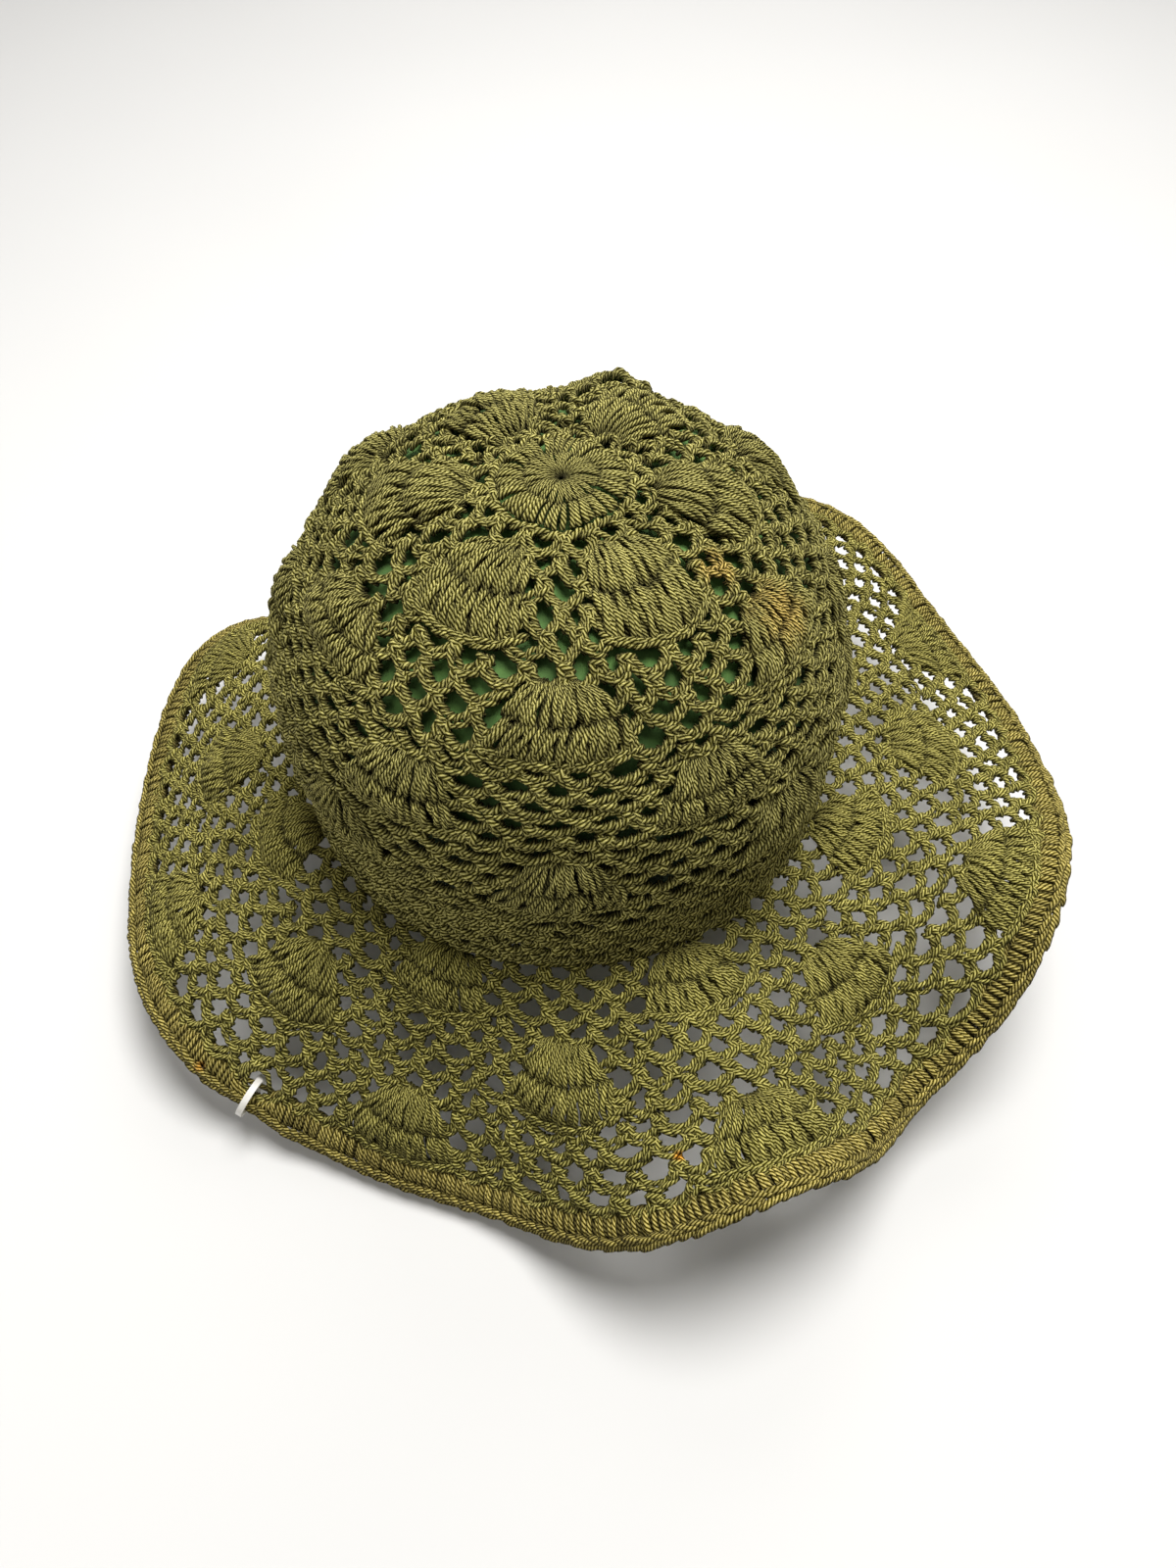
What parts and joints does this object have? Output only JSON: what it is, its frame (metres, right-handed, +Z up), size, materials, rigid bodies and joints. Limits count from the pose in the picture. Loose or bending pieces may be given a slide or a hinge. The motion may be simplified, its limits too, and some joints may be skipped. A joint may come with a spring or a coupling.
{
  "type": "crocheted sun hat",
  "caption": "Openwork crocheted sun hat with a lined round crown of fan motifs, a snug head band and a wide wavy brim held in shape by a wire in its edge.",
  "frame": {"origin": "centre of the head opening, in the plane of the head band's lower edge", "axes": "+Z up through the crown, -Y towards the front of the hat, +X towards the right as seen from the front"},
  "size_m": [0.3505, 0.3377, 0.1885],
  "materials": {
    "olive_yarn": "matte plied cotton yarn",
    "green_cotton": "plain-woven cotton",
    "spring_wire": "drawn",
    "crimp_sleeve": "crimped",
    "white_loop": "satin tape"
  },
  "bodies": {
    "hat": {"crown_medallion": "olive_yarn", "crown_fans_first": "olive_yarn", "crown_fans_second": "olive_yarn", "crown_fans_third": "olive_yarn", "crown_fans_fourth": "olive_yarn", "crown_trellis_top": "olive_yarn", "crown_trellis_upper": "olive_yarn", "crown_trellis_middle": "olive_yarn", "crown_trellis_lower": "olive_yarn", "head_band": "olive_yarn", "lining_tip": "green_cotton", "lining_side": "green_cotton", "brim_trellis_inner": "olive_yarn", "brim_trellis_middle": "olive_yarn", "brim_trellis_outer": "olive_yarn", "brim_fans_inner": "olive_yarn", "brim_fans_middle": "olive_yarn", "brim_fans_outer": "olive_yarn", "brim_edging": "olive_yarn", "brim_wire": "spring_wire", "wire_sleeve": "crimp_sleeve", "edge_chain": "olive_yarn"},
    "loop": {"tag_loop": "white_loop"}
  },
  "joints": [
    {"name": "tag_loop_swing", "type": "hinge", "parent": "hat", "child": "loop", "pos_m": [-0.10776, -0.1181, -0.04745], "axis": [-0.4995, -0.5489, -0.6702], "range_deg": [-40, 40]}
  ]
}
